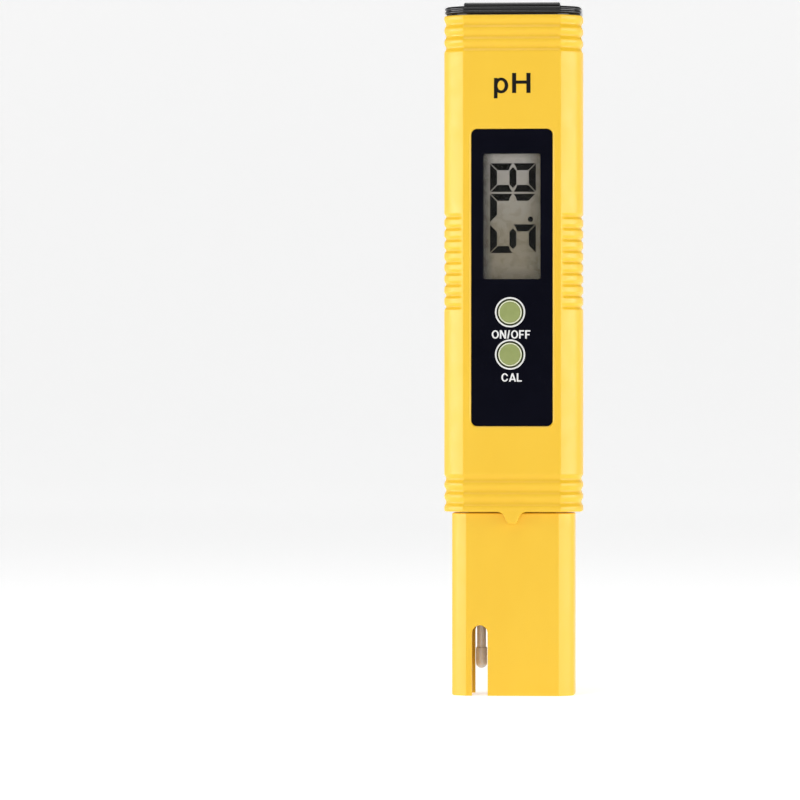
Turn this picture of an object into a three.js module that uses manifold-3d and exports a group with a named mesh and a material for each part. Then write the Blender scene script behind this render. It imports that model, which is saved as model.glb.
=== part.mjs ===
// A pocket pH meter: two case halves, a pull-off battery cap and tray, a display with
// two buttons on a board, and an electrode in a slotted sleeve.
// Millimetres, +Z up along the meter, its front facing -Y.
// The origin is the centre of the sleeve's bottom rim, where the meter stands.

import * as THREE from 'three';
import { mergeVertices } from 'three/addons/utils/BufferGeometryUtils.js';
import Module from 'manifold-3d';

const wasm = await Module();
wasm.setup();

// ---------- driving dimensions ----------

const WIDTH = 31;
const DEPTH = 18;
const HEIGHT = 155;
const half = WIDTH / 2;
const front = DEPTH / 2;

// The cross-section's corner
const FLAT_HALF = 10.9; // half-width of the front and rear flats
const CREASE_SLOPE = 0.65; // how steeply the corner leaves the flat
const CREASE_SHIFT = 0.33; // how far the flat's edge moves in per mm of inset
const SIDE_HALF = 3.2; // half-height of the straight side
const SIDE_SHARE = 0.55; // the most of the half-depth that the straight side may take
const FLAT_EASE = 0.44; // how far the corner's curve runs on from the flat
const SIDE_EASE = 0.45; // and from the side

const WALL = 2;
const CASE_BOTTOM = 41.2;
const CASE_TOP = 152.3;
const FLOOR = 2;
const FLOOR_HOLE_INSET = 3.2;
const SEAM = 0.1; // gap between the two case halves
const GAP = 0.3; // clearance between neighbouring pieces
const FIT = 0.1; // clearance of a close fit
const SINK = 0.3; // how far a joined part reaches into its neighbour

const GROOVE = { width: 1.7, depth: 0.45, pitch: 2.62 };
const TOP_GROOVES = 145.1;
const BOTTOM_GROOVES = 43.3;
const RING_GROOVES = 3; // at each end of the case
const GRIP = { width: 1.7, depth: 0.5, pitch: 2.52, first: 87.1, count: 9, from: 11.6 };
const TAB = { half: 3.15, tip: 1, length: 2.7, waist: 1.9, ease: 0.3, root: 0.5 };
const PEG = { x: 11.6, z: [60, 126], r: 0.9, reach: 2, boss: 2 };
const RAIL = { x: 8, half: 0.8 }; // guides the tray on the rear wall

const PANEL = { width: 18.1, bottom: 60.4, top: 126.7, radius: 1.3, front: 8.9, thick: 0.8 };
const PANEL_FIT = 0.15;
const POCKET_DEPTH = 1.2;
const POCKET_FLOOR = front - POCKET_DEPTH;
const WINDOW = { width: 12.75, bottom: 93.2, top: 121.2, radius: 0.4 };
const LENS = { margin: 0.6, thick: 0.8 }; // the margin hides behind the panel

const BUTTON = { x: -0.4, r: 2.65, crest: 9.3, edge: 8.75, flange: 3.1, stem: 1.3 };
const ONOFF_Z = 85.8;
const CAL_Z = 76.35;
const FLANGE_Y = { front: 7.75, back: 7.15 };
const STEM_BACK = 7;
const RING = { inner: 2.95, outer: 3.4, front: 9, back: 8.7, seat: 0.35 };
const PLUNGER = { r: 1.7, front: 6.9, back: 5 };
const SWITCH = { half: 3, front: 6.1, bore: 1.95, floor: 4.3 };

const DISPLAY = { half: 8.2, bottom: 91.2, top: 123.2, front: 6 };
const FRAME = { half: 9.2, rim: 1.1, front: 6.7, ledge: 6.3, back: 3.3, lip: 7.3 };
const REAR_GLASS = { half: 6.6, front: 5.2, back: 4.5 };
const REFLECTOR = { half: 6.4, front: 4.4, back: 4.2, inset: 0.5 };
const STRIP = { x: 7.5, half: 0.5, inset: 2, front: 5.2, back: 3.1 };

const BOARD = { half: 9.6, bottom: 53, top: 131, front: 3, thick: 1.2 };
const BOARD_BACK = -BOARD.front + BOARD.thick;
const SCREW_X = 7.2;
const SCREW_Z = [56.5, 127.2];
const SCREW = { shank: 0.7, head: 1.7, crown: 1.1, hole: 1, point: -6, post: 2 };

const SKIRT_BOTTOM = 147.4;
const SKIRT_INSET = WALL + GAP;
const LID_BOTTOM = CASE_TOP + GAP;
const SEAL = { bottom: 149.2, top: 150.4 };
const CELL = { r: 5.8, thick: 5.4, x: 6.3, z: 140, face: 4.7, rim: 4.8, shoulder: 5.5 };
const TRAY = { half: 12.9, bottom: 133.2, top: 147.1, front: 2.5, back: 4.2, pocket: 3.2 };
const TONGUE = { half: 8, thick: 1.5, top: 148.7 }; // the tray's tongue in the cap
const BRIDGE = { r: 2, front: 2.8, back: 3, neck: 1.2 };
const CONTACT = { half: 2.2, bottom: 129.6, front: -3.4, back: -3.1, dimple: -2.8 };

const SLEEVE_INSET = 1.75;
const SLEEVE_WALL = 1.5;
const SLEEVE_TOP = CASE_BOTTOM - GAP;
const BORE_INSET = SLEEVE_INSET + SLEEVE_WALL;
const SHOULDER = 2; // thickness of the sleeve's closed top
const BORE_TOP = SLEEVE_TOP - SHOULDER;
const NECK_INSET = 3.5;
const NECK_WALL = 1.1;
const NECK_BORE_INSET = NECK_INSET + NECK_WALL;
const NECK_TOP = 49;
const FLANGE = { bottom: 45, top: 47 };
const SLEEVE_SEAL = { bottom: 43.5, top: 44.7 };
const SLOT = { x: -7.3, width: 3.5, top: 15.8 };

const CARRIER = { bottom: 19, top: 50 };
const CHAMBER_R = 3.4;
const CHAMBER_FLOOR = 22;
const SIDE_CHAMBER = { x: -1.8, r: 1.8 };
const JUNCTION = { x: -2.3, r: 0.9 };
const STEM = { x: 2.5, r: 2.4, top: 45 };
const BULB = { r: 3.8, z: 7.6, skin: 0.5 };
const WIRE_TOP = 45.8;
const PLUG = { bottom: 46.2, top: 49.6 };
const PROBE = { x: -7.3, foot: 5.9, tip: 1.25, tipTop: 10.4, r: 1, top: 50.4 };

const CORNER_STEPS = 4; // straight pieces in each curved corner
const ROUND_STEPS = 24; // sides of a round piece
const MEDIUM_STEPS = 16; // sides of a smaller one
const SMALL_STEPS = 12;
const WIRE_STEPS = 8;

const ON_AXIS = 0;
const PAST = 1; // how far a cutter reaches past what it cuts
const FAR = 200; // beyond the meter on every side

// ---------- materials ----------

const colours = {
  yellow: [0xf5cb3f, 0.42, 0],
  black: [0x101114, 0.35, 0],
  panel: [0x0a0c14, 0.12, 0],
  lens: [0xc9c6b6, 0.05, 0],
  display: [0x7f7868, 0.2, 0],
  glass: [0xdfe8ea, 0.05, 0],
  button: [0x9ca764, 0.4, 0],
  ring: [0xe8e8e4, 0.25, 0],
  rubber: [0x222222, 0.8, 0],
  board: [0x1f6b3a, 0.5, 0],
  chip: [0x1a1a1c, 0.6, 0],
  steel: [0xb9bdc2, 0.25, 1],
  nickel: [0xc8c4b8, 0.3, 1],
  grey: [0xb0b0ac, 0.5, 0],
  epoxy: [0x2b2a26, 0.4, 0],
  ceramic: [0xf2f0ea, 0.7, 0],
};

const model = new THREE.Group();

// Adds one named piece with its own material.
function add(name, geometry, colour) {
  const [color, roughness, metalness] = colours[colour];
  const material = new THREE.MeshStandardMaterial({ color, roughness, metalness });
  const mesh = new THREE.Mesh(geometry, material);
  mesh.name = name;
  model.add(mesh);
}

// ---------- solids ----------

// A closed geometry as a solid that can be cut and joined.
function solid(geometry) {
  const bare = geometry.clone();
  bare.deleteAttribute('normal');
  bare.deleteAttribute('uv');
  const merged = mergeVertices(bare, 1e-4);
  const index = merged.index.array;
  const triangles = [];
  for (let i = 0; i < index.length; i += 3) {
    const [a, b, c] = index.slice(i, i + 3);
    if (a !== b && b !== c && c !== a) triangles.push(a, b, c);
  }
  const vertProperties = new Float32Array(merged.attributes.position.array);
  const triVerts = new Uint32Array(triangles);
  return new wasm.Manifold(new wasm.Mesh({ numProp: 3, vertProperties, triVerts }));
}

// A solid back as a geometry.
function geometryOf(manifold) {
  const mesh = manifold.getMesh();
  const geometry = new THREE.BufferGeometry();
  geometry.setAttribute('position', new THREE.BufferAttribute(new Float32Array(mesh.vertProperties), 3));
  geometry.setIndex(new THREE.BufferAttribute(new Uint32Array(mesh.triVerts), 1));
  return geometry;
}

// A box from its lowest to its highest corner.
function block(low, high) {
  const size = high.map((value, i) => value - low[i]);
  const geometry = new THREE.BoxGeometry(...size);
  return geometry.translate(low[0] + size[0] / 2, low[1] + size[1] / 2, low[2] + size[2] / 2);
}

// An XY outline raised from z0 to z1.
function rise(shape, z0, z1) {
  const options = { depth: z1 - z0, bevelEnabled: false, curveSegments: CORNER_STEPS };
  return new THREE.ExtrudeGeometry(shape, options).translate(0, 0, z0);
}

// An XY outline raised from z0 to z1, its top and bottom edges rounded.
function softRise(shape, z0, z1, edge) {
  const options = {
    depth: z1 - z0 - 2 * edge,
    bevelEnabled: true,
    bevelThickness: edge,
    bevelSize: edge,
    bevelOffset: -edge,
    bevelSegments: 1,
    curveSegments: CORNER_STEPS,
  };
  return new THREE.ExtrudeGeometry(shape, options).translate(0, 0, z0 + edge);
}

// An outline drawn as seen from the front (X and Z), filling y0 to y1.
function plate(shape, y0, y1) {
  const options = { depth: y1 - y0, bevelEnabled: false, curveSegments: CORNER_STEPS };
  return new THREE.ExtrudeGeometry(shape, options).rotateX(Math.PI / 2).translate(0, y1, 0);
}

// A profile of [radius, y] points turned about a line along Y through (x, z).
function turnedY(profile, x, z, steps = ROUND_STEPS) {
  const points = profile.map(([r, y]) => new THREE.Vector2(r, y));
  return new THREE.LatheGeometry(points, steps).translate(x, 0, z);
}

// A profile of [radius, z] points turned about a line along Z through x, y = 0.
function turnedZ(profile, x, steps = ROUND_STEPS) {
  const points = profile.map(([r, z]) => new THREE.Vector2(r, z));
  return new THREE.LatheGeometry(points, steps).rotateX(Math.PI / 2).translate(x, 0, 0);
}

const rodY = (r, x, z, y0, y1, steps) =>
  turnedY([[ON_AXIS, y0], [r, y0], [r, y1], [ON_AXIS, y1]], x, z, steps);

const rodZ = (r, x, z0, z1, steps) =>
  turnedZ([[ON_AXIS, z0], [r, z0], [r, z1], [ON_AXIS, z1]], x, steps);

// ---------- outlines ----------

// The case's cross-section, smaller by `inset` on every side: two flats with a crisp
// crease, curved corners and short straight sides.
function section(inset, Outline = THREE.Shape) {
  const flat = FLAT_HALF - inset * CREASE_SHIFT;
  const side = half - inset;
  const face = front - inset;
  const straight = Math.min(SIDE_HALF, SIDE_SHARE * face);
  const leaveX = flat + FLAT_EASE * (side - flat);
  const leaveY = face - FLAT_EASE * (side - flat) * CREASE_SLOPE;
  const arriveY = straight + SIDE_EASE * (face - straight);
  const outline = new Outline();
  outline.moveTo(-flat, -face);
  outline.lineTo(flat, -face);
  outline.bezierCurveTo(leaveX, -leaveY, side, -arriveY, side, -straight);
  outline.lineTo(side, straight);
  outline.bezierCurveTo(side, arriveY, leaveX, leaveY, flat, face);
  outline.lineTo(-flat, face);
  outline.bezierCurveTo(-leaveX, leaveY, -side, arriveY, -side, straight);
  outline.lineTo(-side, -straight);
  outline.bezierCurveTo(-side, -arriveY, -leaveX, -leaveY, -flat, -face);
  return outline;
}

// The cross-section with a smaller one left out of it.
function hollowSection(outer, inner) {
  const outline = section(outer);
  outline.holes.push(section(inner, THREE.Path));
  return outline;
}

// A rectangle about x = 0 with round corners, from z0 to z1.
function roundedRectangle(width, z0, z1, radius, Outline = THREE.Shape) {
  const x = width / 2;
  const outline = new Outline();
  outline.moveTo(-x + radius, z0);
  outline.lineTo(x - radius, z0);
  outline.absarc(x - radius, z0 + radius, radius, -Math.PI / 2, 0, false);
  outline.lineTo(x, z1 - radius);
  outline.absarc(x - radius, z1 - radius, radius, 0, Math.PI / 2, false);
  outline.lineTo(-x + radius, z1);
  outline.absarc(-x + radius, z1 - radius, radius, Math.PI / 2, Math.PI, false);
  outline.lineTo(-x, z0 + radius);
  outline.absarc(-x + radius, z0 + radius, radius, Math.PI, 1.5 * Math.PI, false);
  return outline;
}

// A ring around the case whose inner wall comes to an edge, to cut one V groove.
function grooveCutter(z, { width, depth }) {
  const clear = 0.05; // the ring starts this far off the wall
  const reach = 1.5; // and ends this far off it
  const options = {
    depth: 0,
    bevelEnabled: true,
    bevelThickness: width / 2,
    bevelSize: depth + clear,
    bevelSegments: 1,
    curveSegments: CORNER_STEPS,
  };
  const ring = new THREE.ExtrudeGeometry(hollowSection(-reach, -clear), options);
  return solid(ring.translate(0, 0, z));
}

// ---------- case ----------

// Both halves as one tube with its floor, end grooves and side grips.
function caseTube() {
  let tube = solid(rise(hollowSection(0, WALL), CASE_BOTTOM, CASE_TOP));
  const floor = rise(hollowSection(WALL / 2, FLOOR_HOLE_INSET), CASE_BOTTOM, CASE_BOTTOM + FLOOR);
  tube = tube.add(solid(floor));
  for (let i = 0; i < RING_GROOVES; i += 1) {
    tube = tube.subtract(grooveCutter(TOP_GROOVES + i * GROOVE.pitch, GROOVE));
    tube = tube.subtract(grooveCutter(BOTTOM_GROOVES + i * GROOVE.pitch, GROOVE));
  }
  for (let i = 0; i < GRIP.count; i += 1) {
    const ring = grooveCutter(GRIP.first + i * GRIP.pitch, GRIP);
    const middle = block([-GRIP.from, -FAR, -FAR], [GRIP.from, FAR, FAR]);
    tube = tube.subtract(ring.subtract(solid(middle)));
  }
  return tube;
}

// The tab under the case's front edge, with hollow flanks and a blunt tip.
function tabShape() {
  const tip = CASE_BOTTOM - TAB.length;
  const outline = new THREE.Shape();
  outline.moveTo(-TAB.half, CASE_BOTTOM + TAB.root);
  outline.lineTo(-TAB.half, CASE_BOTTOM);
  outline.quadraticCurveTo(-TAB.waist, CASE_BOTTOM - TAB.ease, -TAB.tip, tip);
  outline.lineTo(TAB.tip, tip);
  outline.quadraticCurveTo(TAB.waist, CASE_BOTTOM - TAB.ease, TAB.half, CASE_BOTTOM);
  outline.lineTo(TAB.half, CASE_BOTTOM + TAB.root);
  return outline;
}

// A boss from y0 to y1 for a peg between the halves, kept inside the case's wall.
function pegBoss(side, z, y0, y1) {
  const boss = solid(rodY(PEG.boss, side * PEG.x, z, y0, y1, SMALL_STEPS));
  return boss.intersect(solid(rise(section(WALL / 2), z - PEG.boss - PAST, z + PEG.boss + PAST)));
}

function frontShell(tube) {
  let shell = tube.intersect(solid(block([-FAR, -FAR, -FAR], [FAR, -SEAM / 2, FAR])));
  const pocket = roundedRectangle(
    PANEL.width + 2 * PANEL_FIT, PANEL.bottom - PANEL_FIT, PANEL.top + PANEL_FIT, PANEL.radius,
  );
  const inside = -front + WALL;
  shell = shell.subtract(solid(plate(pocket, -front - PAST, -POCKET_FLOOR)));
  const margin = LENS.margin + GAP;
  const opening = roundedRectangle(
    WINDOW.width + 2 * margin, WINDOW.bottom - margin, WINDOW.top + margin, WINDOW.radius,
  );
  shell = shell.subtract(solid(plate(opening, -front - PAST, inside + PAST)));
  for (const z of [ONOFF_Z, CAL_Z]) {
    shell = shell.subtract(solid(rodY(RING.outer, BUTTON.x, z, -front - PAST, inside + PAST)));
  }
  shell = shell.add(solid(plate(tabShape(), -front, -front + SLEEVE_INSET - GAP)));
  for (const side of [-1, 1]) {
    for (const z of SCREW_Z) {
      const x = side * SCREW_X;
      const post = solid(rodY(SCREW.post, x, z, inside - SINK, -BOARD.front - GAP, MEDIUM_STEPS));
      const pilot = solid(rodY(SCREW.hole, x, z, inside, -BOARD.front, SMALL_STEPS));
      shell = shell.add(post).subtract(pilot);
    }
    for (const z of PEG.z) {
      const peg = solid(rodY(PEG.r, side * PEG.x, z, -PEG.reach, PEG.reach, SMALL_STEPS));
      shell = shell.add(pegBoss(side, z, inside, -SEAM / 2)).add(peg);
    }
  }
  return shell;
}

function rearShell(tube) {
  let shell = tube.intersect(solid(block([-FAR, SEAM / 2, -FAR], [FAR, FAR, FAR])));
  const inside = front - WALL;
  for (const side of [-1, 1]) {
    for (const z of PEG.z) {
      const hole = solid(rodY(PEG.r + GAP, side * PEG.x, z, -PAST, PEG.reach + PAST, SMALL_STEPS));
      shell = shell.add(pegBoss(side, z, SEAM / 2, inside)).subtract(hole);
    }
    const x = side * RAIL.x;
    const low = [x - RAIL.half, TRAY.back + GAP, TRAY.bottom];
    const high = [x + RAIL.half, inside + SINK, TRAY.top];
    shell = shell.add(solid(block(low, high)));
  }
  return shell;
}

const tube = caseTube();
add('front_shell', geometryOf(frontShell(tube)), 'yellow');
add('rear_shell', geometryOf(rearShell(tube)), 'yellow');

// ---------- fascia, lens and buttons ----------

function fascia() {
  const back = PANEL.front - PANEL.thick;
  const face = roundedRectangle(PANEL.width, PANEL.bottom, PANEL.top, PANEL.radius);
  face.holes.push(roundedRectangle(WINDOW.width, WINDOW.bottom, WINDOW.top, WINDOW.radius, THREE.Path));
  let panel = solid(plate(face, -PANEL.front, -back));
  const seat = -PANEL.front + RING.seat;
  for (const z of [ONOFF_Z, CAL_Z]) {
    panel = panel.subtract(solid(rodY(RING.inner - FIT, BUTTON.x, z, -front - PAST, 0)));
    panel = panel.subtract(solid(rodY(RING.outer + FIT / 2, BUTTON.x, z, -front - PAST, seat)));
  }
  return panel;
}

add('fascia_panel', geometryOf(fascia()), 'panel');

const lensShape = roundedRectangle(
  WINDOW.width + 2 * LENS.margin, WINDOW.bottom - LENS.margin, WINDOW.top + LENS.margin, WINDOW.radius,
);
add('display_lens', plate(lensShape, -POCKET_FLOOR, -POCKET_FLOOR + LENS.thick), 'lens');

// A domed cap with a flange behind the panel and a stem down to its switch.
const buttonProfile = [
  [ON_AXIS, -BUTTON.crest],
  [0.53 * BUTTON.r, -BUTTON.crest + 0.04],
  [0.83 * BUTTON.r, -BUTTON.crest + 0.18],
  [BUTTON.r, -BUTTON.edge],
  [BUTTON.r, -FLANGE_Y.front],
  [BUTTON.flange, -FLANGE_Y.front],
  [BUTTON.flange, -FLANGE_Y.back],
  [BUTTON.stem, -FLANGE_Y.back],
  [BUTTON.stem, -STEM_BACK],
  [ON_AXIS, -STEM_BACK],
];

const ringProfile = [
  [RING.inner, -RING.back],
  [RING.inner, -RING.front + 0.05],
  [RING.inner + 0.12, -RING.front],
  [RING.outer - 0.15, -RING.front],
  [RING.outer, -RING.front + 0.1],
  [RING.outer, -RING.back],
  [RING.inner, -RING.back],
];

// One button with its trim ring, its switch on the board and the switch's plunger.
function addButton(name, z) {
  const { x } = BUTTON;
  add(`${name}_button`, turnedY(buttonProfile, x, z), 'button');
  add(`${name}_ring`, turnedY(ringProfile, x, z), 'ring');
  add(`${name}_plunger`, rodY(PLUNGER.r, x, z, -PLUNGER.front, -PLUNGER.back, MEDIUM_STEPS), 'chip');
  const low = [x - SWITCH.half, -SWITCH.front, z - SWITCH.half];
  const high = [x + SWITCH.half, -BOARD.front - FIT, z + SWITCH.half];
  const bore = solid(rodY(SWITCH.bore, x, z, -SWITCH.front - PAST, -SWITCH.floor, MEDIUM_STEPS));
  add(`${name}_switch`, geometryOf(solid(block(low, high)).subtract(bore)), 'steel');
}

addButton('onoff', ONOFF_Z);
addButton('cal', CAL_Z);

// ---------- display ----------

// A frame round the glass, open behind, with a lip in front of the glass's edges.
function displayFrame() {
  const { rim, half: x } = FRAME;
  const outer = roundedRectangle(2 * x, DISPLAY.bottom - rim, DISPLAY.top + rim, 0.5);
  const inner = roundedRectangle(2 * (DISPLAY.half + GAP), DISPLAY.bottom - GAP, DISPLAY.top + GAP, 0.3);
  const lip = roundedRectangle(2 * FRAME.lip, DISPLAY.bottom + 1, DISPLAY.top - 1, 0.3);
  return solid(plate(outer, -FRAME.front, -FRAME.back))
    .subtract(solid(plate(inner, -FRAME.ledge, -FRAME.back + PAST)))
    .subtract(solid(plate(lip, -FRAME.front - PAST, -FRAME.ledge + PAST)));
}

// A flat layer of the display, `inset` short of its top and bottom.
function layer(name, x, y0, y1, inset, colour) {
  add(name, block([-x, y0, DISPLAY.bottom + inset], [x, y1, DISPLAY.top - inset]), colour);
}

add('display_frame', geometryOf(displayFrame()), 'black');
layer('display_front_glass', DISPLAY.half, -DISPLAY.front, -REAR_GLASS.front - FIT, 0, 'display');
layer('display_rear_glass', REAR_GLASS.half, -REAR_GLASS.front, -REAR_GLASS.back, 0, 'glass');
layer('display_reflector', REFLECTOR.half, -REFLECTOR.front, -REFLECTOR.back, REFLECTOR.inset, 'grey');
for (const [name, side] of [['left', -1], ['right', 1]]) {
  const x = side * STRIP.x;
  const low = [x - STRIP.half, -STRIP.front, DISPLAY.bottom + STRIP.inset];
  const high = [x + STRIP.half, -STRIP.back, DISPLAY.top - STRIP.inset];
  add(`contact_strip_${name}`, block(low, high), 'rubber');
}

// ---------- board ----------

function board() {
  const low = [-BOARD.half, -BOARD.front, BOARD.bottom];
  let sheet = solid(block(low, [BOARD.half, BOARD_BACK, BOARD.top]));
  for (const x of [-SCREW_X, SCREW_X]) {
    for (const z of SCREW_Z) {
      const hole = rodY(SCREW.hole, x, z, -BOARD.front - PAST, BOARD_BACK + PAST, SMALL_STEPS);
      sheet = sheet.subtract(solid(hole));
    }
  }
  return sheet;
}

add('main_board', geometryOf(board()), 'board');

// A part on the board's rear: its centre [x, z] and its width, height and thickness.
function onBoard(name, [x, z], [width, height, thick], colour) {
  const low = [x - width / 2, BOARD_BACK + FIT, z - height / 2];
  const high = [x + width / 2, BOARD_BACK + FIT + thick, z + height / 2];
  add(name, block(low, high), colour);
}

onBoard('controller_chip', [0, 104], [10, 10, 1.5], 'chip');
onBoard('amplifier_chip', [1.5, 72], [4, 5, 1.6], 'chip');
onBoard('timing_crystal', [-5.5, 92], [3, 8, 2.2], 'steel');
onBoard('memory_chip', [4.5, 88], [4, 5, 1.6], 'chip');

// A small self-tapping screw through the board into its post.
const headFoot = BOARD_BACK + FIT / 2;
const screwProfile = [
  [ON_AXIS, SCREW.point],
  [SCREW.shank, SCREW.point + 0.5],
  [SCREW.shank, headFoot],
  [SCREW.head, headFoot],
  [SCREW.head, headFoot + 0.65],
  [SCREW.crown, headFoot + 1.05],
  [ON_AXIS, headFoot + 1.05],
];
SCREW_Z.forEach((z, row) => {
  for (const side of [-1, 1]) {
    const label = `${row === 0 ? 'lower' : 'upper'}_${side < 0 ? 'left' : 'right'}`;
    add(`board_screw_${label}`, turnedY(screwProfile, side * SCREW_X, z, MEDIUM_STEPS), 'steel');
  }
});

// ---------- battery cap, tray and cells ----------

// A lid of two ribs with a raised middle, on a skirt that plugs into the case.
function batteryCap() {
  const lowerRib = softRise(section(0.15), LID_BOTTOM, LID_BOTTOM + 0.8, 0.15);
  const between = rise(section(0.4), LID_BOTTOM + 0.6, LID_BOTTOM + 1.2);
  const upperRib = softRise(section(0.2), LID_BOTTOM + 0.95, LID_BOTTOM + 1.7, 0.25);
  const raised = new THREE.Shape();
  const raisedHalf = front - 0.25;
  raised.moveTo(-FLAT_HALF, -raisedHalf);
  raised.lineTo(FLAT_HALF, -raisedHalf);
  raised.lineTo(FLAT_HALF, raisedHalf);
  raised.lineTo(-FLAT_HALF, raisedHalf);
  const skirt = rise(section(SKIRT_INSET), SKIRT_BOTTOM, LID_BOTTOM + SINK);
  const sealGroove = hollowSection(SKIRT_INSET - 1, SKIRT_INSET + 1);
  const socket = block(
    [-TONGUE.half - GAP, -TONGUE.thick - GAP, SKIRT_BOTTOM - PAST],
    [TONGUE.half + GAP, TONGUE.thick + GAP, TONGUE.top + GAP],
  );
  return solid(lowerRib)
    .add(solid(between))
    .add(solid(upperRib))
    .add(solid(softRise(raised, LID_BOTTOM + 1.3, HEIGHT, 0.3)))
    .add(solid(skirt))
    .subtract(solid(rise(sealGroove, SEAL.bottom - 0.2, SEAL.top + 0.2)))
    .subtract(solid(socket));
}

// A block with a pocket for each cell, a slot for the bridge and a tongue for the cap.
function batteryTray() {
  let tray = solid(block([-TRAY.half, -TRAY.front, TRAY.bottom], [TRAY.half, TRAY.back, TRAY.top]));
  for (const x of [-CELL.x, CELL.x]) {
    tray = tray.subtract(solid(rodY(CELL.r + GAP, x, CELL.z, -TRAY.front - PAST, TRAY.pocket)));
  }
  const slot = { x: 2.6, front: 2.7, half: 1.5 };
  const low = [-slot.x, slot.front, CELL.z - slot.half];
  tray = tray.subtract(solid(block(low, [slot.x, TRAY.pocket, CELL.z + slot.half])));
  const foot = [-TONGUE.half, -TONGUE.thick, TRAY.top - SINK];
  return tray.add(solid(block(foot, [TONGUE.half, TONGUE.thick, TONGUE.top])));
}

// A flat bar with round ends that joins the two cells behind.
function bridgeShape() {
  const { r, neck } = BRIDGE;
  const angle = Math.asin(neck / r);
  const bar = new THREE.Shape();
  bar.absarc(CELL.x, CELL.z, r, -Math.PI + angle, Math.PI - angle, false);
  bar.absarc(-CELL.x, CELL.z, r, angle, 2 * Math.PI - angle, false);
  return bar;
}

add('battery_cap', geometryOf(batteryCap()), 'black');
add('cap_seal', rise(hollowSection(WALL + FIT, SKIRT_INSET + 0.8), SEAL.bottom, SEAL.top), 'rubber');
add('battery_tray', geometryOf(batteryTray()), 'black');

// A button cell: a wide can with a smaller raised face at its other pole.
function cellProfile(up) {
  const y = (value) => (up ? value : -value);
  const h = CELL.thick / 2;
  const points = [
    [ON_AXIS, y(-h)],
    [CELL.face, y(-h)],
    [CELL.rim, y(-h + 0.3)],
    [CELL.shoulder, y(-h + 0.35)],
    [CELL.r, y(-h + 0.7)],
    [CELL.r, y(h - 0.2)],
    [CELL.r - 0.2, y(h)],
    [ON_AXIS, y(h)],
  ];
  return up ? points : points.reverse();
}

add('battery_cell_1', turnedY(cellProfile(true), -CELL.x, CELL.z), 'nickel');
add('battery_cell_2', turnedY(cellProfile(false), CELL.x, CELL.z), 'nickel');
add('battery_bridge', plate(bridgeShape(), BRIDGE.front, BRIDGE.back), 'nickel');

// A leaf on the board whose dimple meets a cell's face.
function contact(x) {
  const leaf = block(
    [x - CONTACT.half, CONTACT.front, CONTACT.bottom],
    [x + CONTACT.half, CONTACT.back, CELL.z + CONTACT.half + 0.8],
  );
  const dimple = [
    [ON_AXIS, CONTACT.back - 0.2],
    [1.3, CONTACT.back - 0.2],
    [1.2, CONTACT.back + 0.1],
    [0.6, CONTACT.dimple],
    [ON_AXIS, CONTACT.dimple],
  ];
  return solid(leaf).add(solid(turnedY(dimple, x, CELL.z, MEDIUM_STEPS)));
}

add('positive_contact', geometryOf(contact(-CELL.x)), 'nickel');
add('negative_contact', geometryOf(contact(CELL.x)), 'nickel');

// ---------- electrode sleeve ----------

// Open below, slotted front and rear, with a flanged neck inside the case.
function sleeve() {
  const r = SLOT.width / 2;
  const slotShape = new THREE.Shape();
  slotShape.moveTo(SLOT.x - r, -PAST);
  slotShape.lineTo(SLOT.x + r, -PAST);
  slotShape.absarc(SLOT.x, SLOT.top - r, r, 0, Math.PI, false);
  return solid(rise(section(SLEEVE_INSET), 0, SLEEVE_TOP))
    .add(solid(rise(section(NECK_INSET), SLEEVE_TOP - SINK, NECK_TOP)))
    .add(solid(rise(section(SKIRT_INSET), FLANGE.bottom, FLANGE.top)))
    .subtract(solid(rise(section(BORE_INSET), -PAST, BORE_TOP)))
    .subtract(solid(rise(section(NECK_BORE_INSET), BORE_TOP - PAST, NECK_TOP + PAST)))
    .subtract(solid(plate(slotShape, -FAR, FAR)));
}

add('electrode_sleeve', geometryOf(sleeve()), 'yellow');
const sealRing = hollowSection(SKIRT_INSET, NECK_INSET - 0.2);
add('sleeve_seal', rise(sealRing, SLEEVE_SEAL.bottom, SLEEVE_SEAL.top), 'rubber');

// ---------- electrode and probe ----------

// The block that holds the electrode and the probe, with the reference chamber in it.
function carrier() {
  const shoulder = BORE_TOP - GAP;
  return solid(rise(section(BORE_INSET + GAP), CARRIER.bottom, shoulder))
    .add(solid(rise(section(NECK_BORE_INSET + GAP), shoulder - SINK, CARRIER.top)))
    .subtract(solid(rodZ(CHAMBER_R, STEM.x, 0, FAR)))
    .subtract(solid(rodZ(SIDE_CHAMBER.r, SIDE_CHAMBER.x, CHAMBER_FLOOR, FAR, MEDIUM_STEPS)))
    .subtract(solid(rodZ(PROBE.r + GAP, PROBE.x, 0, FAR, MEDIUM_STEPS)))
    .subtract(solid(rodZ(JUNCTION.r + FIT, JUNCTION.x, 0, FAR, SMALL_STEPS)));
}

add('electrode_carrier', geometryOf(carrier()), 'grey');

// The wall of the bulb from its foot up to where it meets a stem.
function bulbWall(r, stem) {
  const steps = 6;
  const end = Math.PI - Math.asin(stem / r);
  const points = [];
  for (let i = 0; i <= steps; i += 1) {
    const angle = (end * i) / steps;
    points.push([r * Math.sin(angle), BULB.z - r * Math.cos(angle)]);
  }
  points[0][0] = ON_AXIS;
  return points;
}

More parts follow.
